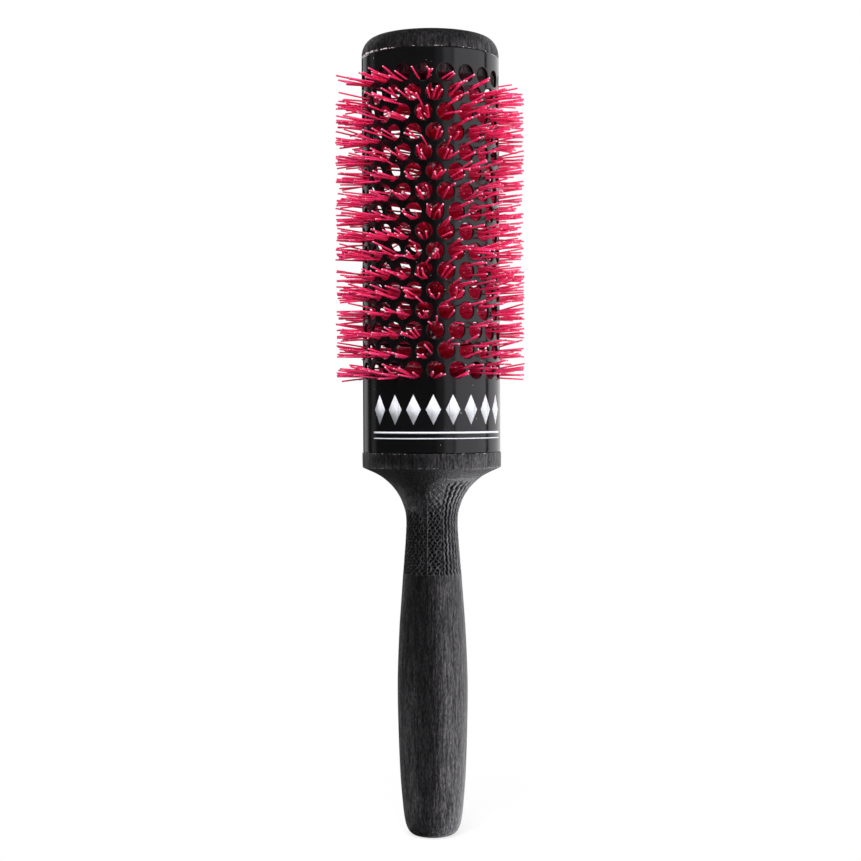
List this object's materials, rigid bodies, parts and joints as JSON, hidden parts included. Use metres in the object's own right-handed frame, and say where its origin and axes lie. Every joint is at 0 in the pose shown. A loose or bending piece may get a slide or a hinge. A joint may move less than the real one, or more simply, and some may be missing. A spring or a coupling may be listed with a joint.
{
  "type": "round barrel brush",
  "caption": "Round thermal hair brush: perforated black ceramic-coated barrel with pink nylon bristles, wooden end cap, and a turned black wooden handle with a chequered neck.",
  "frame": {"origin": "middle of the flat at the end of the handle", "axes": "+Z along the brush's axis from the handle's end to the end cap; -Y faces the viewer of the front, +X is to that viewer's right"},
  "size_m": [0.06, 0.06, 0.2492],
  "materials": {
    "handle_wood": "black stained and lacquered, satin, grain showing",
    "ceramic_barrel": "thin aluminium tube under a black ceramic coating, satin to gloss",
    "cap_wood": "black stained, matt, grain showing",
    "stem_steel": "drawn wire",
    "bristle_nylon": "glossy translucent nylon filament"
  },
  "bodies": {
    "root": {"handle": "handle_wood", "barrel": "ceramic_barrel", "end_cap": "cap_wood", "stem_wire_a": "stem_steel", "stem_wire_b": "stem_steel", "bristle_row_01": "bristle_nylon", "bristle_row_02": "bristle_nylon", "bristle_row_03": "bristle_nylon", "bristle_row_04": "bristle_nylon", "bristle_row_05": "bristle_nylon", "bristle_row_06": "bristle_nylon", "bristle_row_07": "bristle_nylon", "bristle_row_08": "bristle_nylon", "bristle_row_09": "bristle_nylon", "bristle_row_10": "bristle_nylon", "bristle_row_11": "bristle_nylon", "bristle_row_12": "bristle_nylon", "bristle_row_13": "bristle_nylon", "bristle_row_14": "bristle_nylon", "bristle_row_15": "bristle_nylon", "bristle_row_16": "bristle_nylon"}
  },
  "joints": []
}
